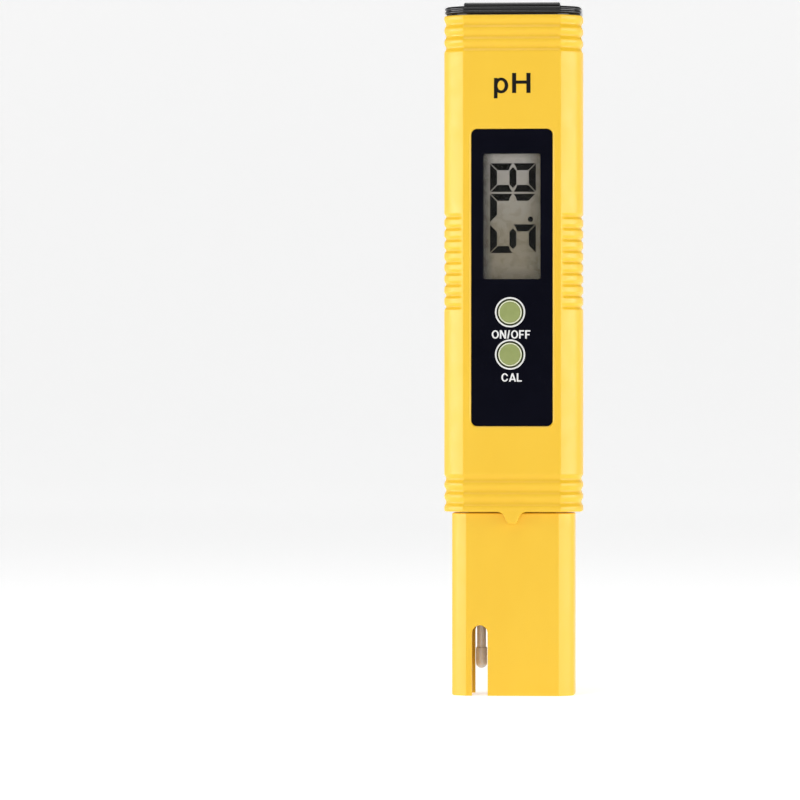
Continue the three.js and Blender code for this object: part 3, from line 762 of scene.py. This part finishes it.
def make_cap():
    """A lid with two beads round its edge, a raised ridge, and a skirt that plugs in."""
    lid = CASE_TOP + GAP
    skirt = WALL + GAP
    foot = 0.25
    seal_low, seal_high = place_of("cap_seal")
    groove_low, groove_high = seal_low.z - 0.2, seal_high.z + 0.2
    groove_depth = 1.0
    profile = [
        (cap_low.z, skirt + foot),
        (cap_low.z + foot, skirt),
        (groove_low, skirt),
        (groove_low, skirt + groove_depth),
        (groove_high, skirt + groove_depth),
        (groove_high, skirt),
        (lid, skirt),
        (lid, 0.5),
    ]
    bead, crease = 0.34, 0.48
    bead_heights = (0.42, 1.2)
    shelf = lid + 1.66
    for height in bead_heights:
        profile += [(z, crease - out) for out, z in arc((0, lid + height), bead, -75, 75, 10)]
    profile += [(shelf, 0.6), (shelf, 1.4)]
    cap = skin("battery_cap_black", stack(profile))
    carve(cap, ridge_tool(lid), "UNION")
    show(smooth(cap), BLACK, DRAWER, "cap_black", "battery_cap")


def ridge_tool(lid):
    """The raised middle of the lid, with a bead round it and rounded top edges."""
    top = cap_high.z
    half_x, half_y = FLAT_HALF - 0.1, HALF_DEPTH - 0.22
    bead, bead_height = 0.3, 1.92
    profile = [(lid + 1.2, 0.6), (lid + 1.58, 0.6)]
    profile += [(z, bead - out) for out, z in arc((0, lid + bead_height), bead, -80, 40, 8)]
    profile += [(top - 0.12, 0.16), (top - 0.03, 0.28), (top, 0.45)]
    rings = []
    for z, inset in profile:
        outline = rounded_rectangle((-half_x, -half_y), (half_x, half_y), 0.5, -inset, 5)
        rings.append([(x, y, z) for x, y in outline])
    return skin("ridge_tool", rings)


# ---------- electrode sleeve ----------

SLEEVE_TOP = CASE_BOTTOM - GAP
SLOT_X = -7.3
SLOT_HALF = 1.75
SLOT_TOP = 15.8


def slot_tool():
    """The slot through the sleeve's front and rear, flared a little at both."""
    face = HALF_DEPTH - SLEEVE_INSET
    flare, ease, past = 0.4, 0.18, 0.2
    levels = [(-face - PAST, flare), (-face, ease), (-face + past, 0)]
    levels += [(-y, grow) for y, grow in reversed(levels)]
    rings = []
    for y, grow in levels:
        half = SLOT_HALF + grow
        outline = [(SLOT_X + half, -PAST)]
        outline += arc((SLOT_X, SLOT_TOP - SLOT_HALF), half, 0, 180, 20)
        outline += [(SLOT_X - half, -PAST)]
        rings.append(frontal(outline, y))
    return skin("slot_tool", rings)


def make_sleeve():
    """The sleeve, open below, with a flanged neck that goes up into the case."""
    top, neck_top = SLEEVE_TOP, place_of("electrode_sleeve")[1].z
    neck, neck_bore = 3.5, 4.6
    flange, flange_low, flange_high = 2.3, 45.0, 47.0
    shoulder = top - 2
    profile = [
        (0.0, SLEEVE_INSET + 0.3),
        (0.09, SLEEVE_INSET + 0.09),
        (0.3, SLEEVE_INSET),
        (top - 0.2, SLEEVE_INSET),
        (top, SLEEVE_INSET + 0.2),
        (top, neck),
        (flange_low, neck),
        (flange_low, flange),
        (flange_high, flange),
        (flange_high, neck),
        (neck_top, neck),
        (neck_top, neck_bore),
        (shoulder, neck_bore),
        (shoulder, SLEEVE_BORE_INSET),
        (0.25, SLEEVE_BORE_INSET),
        (0.0, SLEEVE_BORE_INSET - 0.25),
    ]
    sleeve = skin("sleeve_yellow", stack(profile), ends=False)
    carve(sleeve, slot_tool())
    show(smooth(sleeve), YELLOW, HOUSING, "case_yellow", "electrode_sleeve")


# ---------- fascia, window and keys ----------


def make_fascia():
    """The black panel with its window opening and key holes, and the window behind it."""
    near, far = panel_low.y, panel_high.y
    levels = [(far, 0), (near + 0.14, 0), (near + 0.05, -0.04), (near, -0.14)]
    panel = plate("fascia_black", panel_low, panel_high, 1.25, levels)
    low = Vector((-WINDOW_HALF, 0, WINDOW_LOW))
    high = Vector((WINDOW_HALF, 0, WINDOW_HIGH))
    levels = [(near - PAST, 0.3), (near, 0.1), (near + 0.1, 0), (far + PAST, 0)]
    carve(panel, plate("opening_tool", low, high, 0.35, levels))
    bore, seat_r, seat_depth = 2.86, 3.44, 0.35
    hole = [(bore, far + PAST), (bore, near + seat_depth)]
    hole += [(seat_r, near + seat_depth), (seat_r, near - PAST)]
    for x, z in KEYS.values():
        carve(panel, turn_y("hole_tool", hole, x, z))
    show(smooth(panel), FASCIA, HOUSING, "fascia_black", "fascia_panel")
    window = pane("window_clear", lens_low, lens_high, 0.4)
    show(smooth(window), WINDOW, HOUSING, "lens_clear", "display_lens")


def key_profile(face, ledge):
    """A key's body: a faint dome, a ledge for the bead, a flange and a stem."""
    dome = [(TINY, face - 0.06), (0.8, face - 0.055), (1.4, face - 0.04), (1.9, face - 0.02)]
    rim_r, flange_r, stem_r = 2.62, 3.1, 1.3
    front, back, foot = -7.7, -7.2, -7.0  # depths of the flange's faces and the stem's end
    edge = 0.05
    side = [(2.28, face), (2.32, ledge), (rim_r, ledge), (rim_r, front - 2 * edge)]
    flange = [(flange_r - edge, front - edge), (flange_r, front)]
    flange += [(flange_r, back), (flange_r - edge, back + edge)]
    return dome + side + flange + [(stem_r, back + edge), (stem_r, foot), (TINY, foot)]


def make_keys():
    """Each key has a green face inside a bead painted pale as a highlight on its rounded edge, and
    a thin white trim ring.
    """
    angle = KEY_SHARP_ANGLE
    face = -9.24
    ledge = face + 0.12
    bead_section = rounded_rectangle((2.34, face - 0.02), (2.61, ledge - 0.005), 0.06, 0, 4)
    trim_section = rounded_rectangle((3.0, -9.0), (3.38, -8.7), 0.1, 0, 4)
    for key, (x, z) in KEYS.items():
        body = turn_y(f"{key}_key_body", key_profile(face, ledge), x, z, 96)
        show(smooth(body, angle), GREEN, f"{key}_key", "button_green", f"{key}_button")
        # The bead's pale colour is a painted highlight on the key's rounded edge.
        bead = round_strip(f"{key}_key_bead", bead_section, x, z)
        show(smooth(bead, angle), KEY_EDGE_HIGHLIGHT, f"{key}_key", "button_green")
        trim = round_strip(f"{key}_trim", trim_section, x, z)
        show(smooth(trim, angle), WHITE, HOUSING, "ring_white", f"{key}_ring")


# ---------- display ----------

DIGIT_HEIGHT = 10.25
DIGIT_WIDTH = 6.4
DIGIT_PITCH = 6.84
STROKE = 1.56
MITRE_GAP = 0.13
SEGMENT_BACK = 0.005  # in front of the display's face
SEGMENT_FRONT = 0.04
READING_LEFT = -5.03
READING_START = WINDOW_LOW + 5.9
POINT_RADIUS = 0.6
POINT_SHIFT = 0.72  # from the second digit's start


def segment_outlines(digit):
    """The lit segments of a digit as outlines, x to the digit's right and y up."""
    w, h, s, g = DIGIT_WIDTH, DIGIT_HEIGHT, STROKE, MITRE_GAP
    m = h / 2
    waist = s / 2 - 0.1  # where an upright segment comes to its point
    top = [(g, h), (w - g, h), (w - s - g, h - s), (s + g, h - s)]
    upright = [(0, h - g), (0, m + g), (s / 2, m + waist), (s, m + s / 2 + g), (s, h - s - g)]
    middle = [(s * 0.55, m), (s + g, m + s / 2), (w - s - g, m + s / 2)]
    middle += [(w - x, 2 * m - y) for x, y in middle]
    shapes = {
        "a": top,
        "b": [(w - x, y) for x, y in upright],
        "c": [(w - x, h - y) for x, y in upright],
        "d": [(x, h - y) for x, y in top],
        "e": [(x, h - y) for x, y in upright],
        "f": upright,
        "g": middle,
    }
    lit = {"5": "afgcd", "7": "abc", "8": "abcdefg"}[digit]
    return [shapes[name] for name in lit]


def make_display():
    """The display sheet and the lit reading, which reads from the bottom to the top."""
    sheet = pane("display_sheet", glass_low, glass_high, 0.15, 2)
    show(smooth(sheet), FILM, HOUSING, "display_film", "display_front_glass")
    back, front = glass_low.y - SEGMENT_BACK, glass_low.y - SEGMENT_FRONT
    for index, digit in enumerate("578"):
        foot = READING_START + index * DIGIT_PITCH
        for number, outline in enumerate(segment_outlines(digit)):
            points = [(READING_LEFT + DIGIT_HEIGHT - y, foot + x) for x, y in outline]
            bar = skin(f"digit_{index}_{number}", [frontal(points, back), frontal(points, front)])
            show(bar, SEGMENT, HOUSING, "display_film")
    disc = [(TINY, back), (POINT_RADIUS, back), (POINT_RADIUS, front), (TINY, front)]
    x = READING_LEFT + DIGIT_HEIGHT - 2 * POINT_RADIUS
    z = READING_START + DIGIT_PITCH + POINT_SHIFT
    point = turn_y("digit_point", disc, x, z, 24)
    show(point, SEGMENT, HOUSING, "display_film")


# ---------- print ----------

INK_THICK = 0.03
INK_LIFT = 0.003


def bar(x0, z0, x1, z1):
    """An upright rectangle's outline."""
    return [(x0, z0), (x1, z0), (x1, z1), (x0, z1)]


def oval(w, h, inset):
    """A letter's round outline, or its counter when inset by the stroke."""
    rx, rz = w / 2 - inset, h / 2 - inset * 0.8
    return [(w / 2 + rx * x, h / 2 + rz * z) for x, z in circle(1, 48)]


def strokes(letter, w, h, s):
    """A plain letter as outlines to join and cut in turn, w wide, h high, its strokes s wide."""
    thin = s * 0.85
    stem = ("join", bar(0, 0, s, h))
    ring = [("join", oval(w, h, 0)), ("cut", oval(w, h, s))]
    if letter == "O":
        return ring
    if letter == "C":
        return ring + [("cut", bar(w * 0.6, h * 0.34, w + 1, h * 0.66))]
    if letter == "p":
        return ring + [("join", bar(0, -h * 0.32, s, h * 0.985))]
    if letter == "N":
        slant = [(0, h), (s * 1.15, h), (w, 0), (w - s * 1.15, 0)]
        return [stem, ("join", bar(w - s, 0, w, h)), ("join", slant)]
    if letter == "F":
        arm = bar(0, h * 0.4, w * 0.85, h * 0.4 + thin)
        return [stem, ("join", bar(0, h - thin, w, h)), ("join", arm)]
    if letter == "L":
        return [stem, ("join", bar(0, 0, w, thin))]
    if letter == "H":
        bridge = bar(0, h * 0.46, w, h * 0.46 + s * 0.78)
        return [stem, ("join", bar(w - s, 0, w, h)), ("join", bridge)]
    if letter == "A":
        left = [(0, 0), (s, 0), (w / 2 + s / 2, h), (w / 2 - s / 2, h)]
        right = [(w - s, 0), (w, 0), (w / 2 + s / 2, h), (w / 2 - s / 2, h)]
        bridge = bar(w * 0.2, h * 0.2, w * 0.8, h * 0.2 + s * 0.8)
        return [("join", left), ("join", right), ("join", bridge)]
    return [("join", [(0, 0), (s * 0.9, 0), (w, h), (w - s * 0.9, h)])]


def letter_shape(name, letter, corner, w, h, s, face):
    """A letter as thin ink on a face, from its lower left corner (x, z)."""
    made = None
    for action, outline in strokes(letter, w, h, s):
        deeper = INK_THICK if action == "cut" else 0
        points = [(corner[0] + x, corner[1] + z) for x, z in outline]
        levels = (face - INK_THICK - deeper, face + deeper)
        part = skin(f"{name}_part", [frontal(points, y) for y in levels])
        if made is None:
            made = part
            made.name = name
        else:
            carve(made, part, "UNION" if action == "join" else "DIFFERENCE")
    return made


def print_line(name, text, corner, h, s, gap, face):
    """A line of white letters of one height, their widths as shares of it."""
    shares = {"O": 0.85, "N": 0.76, "/": 0.36, "F": 0.62, "C": 0.82, "A": 0.85, "L": 0.6}
    x, z = corner
    for index, letter in enumerate(text):
        w = shares[letter] * h
        made = letter_shape(f"{name}_{index}", letter, (x, z), w, h, s, face)
        show(made, WHITE_INK, HOUSING, "ring_white")
        x += w + gap


def make_print():
    """The black letters on the case and the white labels on the fascia."""
    face = FRONT - INK_LIFT
    letter = letter_shape("print_p", "p", (-4.0, 134.68), w=3.2, h=3.5, s=0.8, face=face)
    show(letter, BLACK_INK, HOUSING, "cap_black")
    letter = letter_shape("print_h", "H", (0.05, 134.75), w=4.12, h=4.47, s=0.92, face=face)
    show(letter, BLACK_INK, HOUSING, "cap_black")
    face = panel_low.y - INK_LIFT
    height, stroke = 1.88, 0.36
    print_line("print_onoff", "ON/OFF", (-4.5, 79.9), height, stroke, gap=0.2, face=face)
    print_line("print_cal", "CAL", (-2.35, 70.3), height, stroke, gap=0.15, face=face)


# ---------- cells, electrode and probe ----------

CELL_RADIUS = 5.8
# A cell from its smaller pole on, as (radius, distance from that pole).
CELL_POLE = [(TINY, 0), (4.5, 0), (4.68, 0.06), (4.75, 0.22), (4.95, 0.26), (5.0, 0.4)]
CELL_CRIMP = [(5.1, 0.3), (5.4, 0.32), (5.65, 0.42), (CELL_RADIUS, 0.7)]
# And its wide face, as (radius, distance from that face).
CELL_FACE = [(CELL_RADIUS, 0.25), (5.72, 0.08), (5.55, 0), (TINY, 0)]


def make_cells():
    """Two button cells that face opposite ways."""
    for number, toward in ((1, 1), (2, -1)):
        node = f"battery_cell_{number}"
        low, high = place_of(node)
        pole, face = (low.y, high.y) if toward > 0 else (high.y, low.y)
        profile = [(radius, pole + toward * y) for radius, y in CELL_POLE + CELL_CRIMP]
        profile += [(radius, face - toward * y) for radius, y in CELL_FACE]
        cell = turn_y(f"cell_{number}", profile, *centre_of(node), 96)
        show(smooth(cell, TURNED_SHARP_ANGLE), NICKEL, DRAWER, "nickel_plate", node)


def make_probe():
    """A thin steel stem with a round-ended capsule at its foot."""
    low, high = place_of("temperature_probe")
    tip_r, stem_r, tip_length = 1.25, 1.0, 4.5
    turns = [math.radians(10 * i) for i in range(1, 10)]
    profile = [(TINY, low.z)]
    profile += [(tip_r * math.sin(a), low.z + tip_r - tip_r * math.cos(a)) for a in turns]
    top = low.z + tip_length
    profile += [(tip_r, top), (tip_r - 0.05, top + 0.15), (stem_r, top + 0.3)]
    profile += [(stem_r, high.z), (TINY, high.z)]
    probe = turn_z("probe_steel", profile, (low.x + high.x) / 2)
    probe = smooth(probe, TURNED_SHARP_ANGLE)
    show(probe, SATIN, HOUSING, "steel_bright", "temperature_probe")


def bulb_wall(centre, radius, neck):
    """A bulb's wall from its foot up to where it meets a neck, as (radius, z) points."""
    steps = 22
    end = math.pi - math.asin(neck / radius)
    turns = [end * i / steps for i in range(steps + 1)]
    return [(max(radius * math.sin(a), TINY), centre - radius * math.cos(a)) for a in turns]


def make_electrode():
    """A glass stem blown into a thin bulb at its foot."""
    low, high = place_of("glass_electrode")
    bulb, stem, wall = 3.8, 2.4, 0.5
    centre = low.z + bulb
    inside = bulb_wall(centre, bulb - wall, stem - wall)
    profile = bulb_wall(centre, bulb, stem)
    profile += [(stem, high.z), (stem - wall, high.z)] + inside[::-1]
    glass = turn_z("bulb_glass", profile, (low.x + high.x) / 2)
    glass = smooth(glass, TURNED_SHARP_ANGLE)
    show(glass, GLASS, HOUSING, "display_glass", "glass_electrode")


def finish_nodes():
    """Materials for the CAD nodes that stay."""
    rows, sides = ("lower", "upper"), ("left", "right")
    screws = [f"board_screw_{row}_{side}" for row in rows for side in sides]
    strips = [f"contact_strip_{side}" for side in sides]
    chips = ["controller_chip", "amplifier_chip", "memory_chip"]
    wires = ["silver_wire", "reference_wire"]
    finishes = {
        BLACK: ["battery_tray", "display_frame"],
        RUBBER: ["cap_seal", "sleeve_seal", "stem_grommet", "electrode_lead"] + strips,
        MASK: ["main_board"],
        EPOXY: ["onoff_plunger", "cal_plunger", "potting_plug"] + chips,
        STEEL: ["onoff_switch", "cal_switch", "timing_crystal"] + wires + screws,
        NICKEL: ["battery_bridge", "positive_contact", "negative_contact"],
        GREY: ["electrode_carrier", "display_reflector", "probe_lead"],
        GLASS: ["display_rear_glass"],
        CERAMIC: ["reference_junction"],
    }
    for material, nodes in finishes.items():
        for node in nodes:
            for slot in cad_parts[node].material_slots:
                slot.material = material


# ---------- camera, light and floor ----------


def make_camera():
    """Level, a little below half the meter's height, 3 degrees to the right of straight on.
    It looks past the meter's left side, so the meter stands right of the frame's middle."""
    distance, height = 1.2, 0.0662
    turn = math.radians(3.0)
    beside = math.radians(1.224)
    data = bpy.data.cameras.new("camera")
    data.sensor_width = 36
    data.lens = 240.0
    data.clip_end = 50
    camera = bpy.data.objects.new("camera", data)
    camera.location = (distance * math.sin(turn), -distance * math.cos(turn), height)
    camera.rotation_euler = (math.pi / 2, 0, turn + beside)
    bpy.context.scene.collection.objects.link(camera)
    bpy.context.scene.camera = camera


def make_stage():
    """A pale floor that curves up all round, one glowing white surface like a light tent."""
    flat, bend = 2.2, 1.6
    steps = 64
    turns = [math.radians(7 * i) for i in range(1, 12)]
    profile = [(0.001, 0.0), (flat / 2, 0.0), (flat, 0.0)]
    profile += [(flat + bend * math.sin(a), bend - bend * math.cos(a)) for a in turns]
    vertices = []
    for radius, z in profile:
        vertices += [(x, y, z / MM) for x, y in circle(radius / MM, steps)]
    faces = [tuple(range(steps))]
    for start in range(0, (len(profile) - 1) * steps, steps):
        for i in range(steps):
            j = (i + 1) % steps
            faces.append((start + i, start + j, start + steps + j, start + steps + i))
    floor = new_object("floor", vertices, faces)
    for face in floor.data.polygons:
        face.use_smooth = True
    paint = Finish("floor_white", (0.86, 0.86, 0.86), roughness=0.7)
    paint.mottle((0.875, 0.875, 0.875), size_mm=400)
    paint.set(Emission_Color=(1, 1, 1, 1), Emission_Strength=0.6)
    floor.data.materials.append(paint.material)


def area_light(name, place, target, size, radiance):
    """A rectangular soft light whose face has the given radiance."""
    data = bpy.data.lights.new(name, "AREA")
    data.shape = "RECTANGLE"
    data.size, data.size_y = size
    data.energy = radiance * math.pi * size[0] * size[1]
    light = bpy.data.objects.new(name, data)
    light.location = place
    toward = Vector(target) - Vector(place)
    light.rotation_euler = toward.to_track_quat("-Z", "Y").to_euler()
    light.visible_camera = False
    bpy.context.scene.collection.objects.link(light)


def make_light():
    """A dim white surround, a box on each side for the curved corners, and one above."""
    world = bpy.data.worlds.new("studio")
    world.use_nodes = True
    background = world.node_tree.nodes["Background"]
    background.inputs["Color"].default_value = (1, 1, 1, 1)
    background.inputs["Strength"].default_value = 0.16
    bpy.context.scene.world = world
    height = 0.08
    for name, x, y, width, radiance in (
        ("left_box", -0.9, -0.17, 0.56, 6.5),
        ("right_box", 0.9, -0.25, 0.66, 6.0),
    ):
        area_light(name, (x, y, height), (0, y, height), (width, 0.4), radiance)
    above = (-0.12, -0.3, 1.2)
    area_light("top_box", above, (0, 0, height), size=(0.35, 1.2), radiance=4.3)
    bpy.context.scene.view_settings.view_transform = "Standard"


make_camera()
make_stage()
make_light()
make_case()
make_cap()
make_sleeve()
make_fascia()
make_keys()
make_display()
make_print()
make_cells()
make_probe()
make_electrode()
finish_nodes()
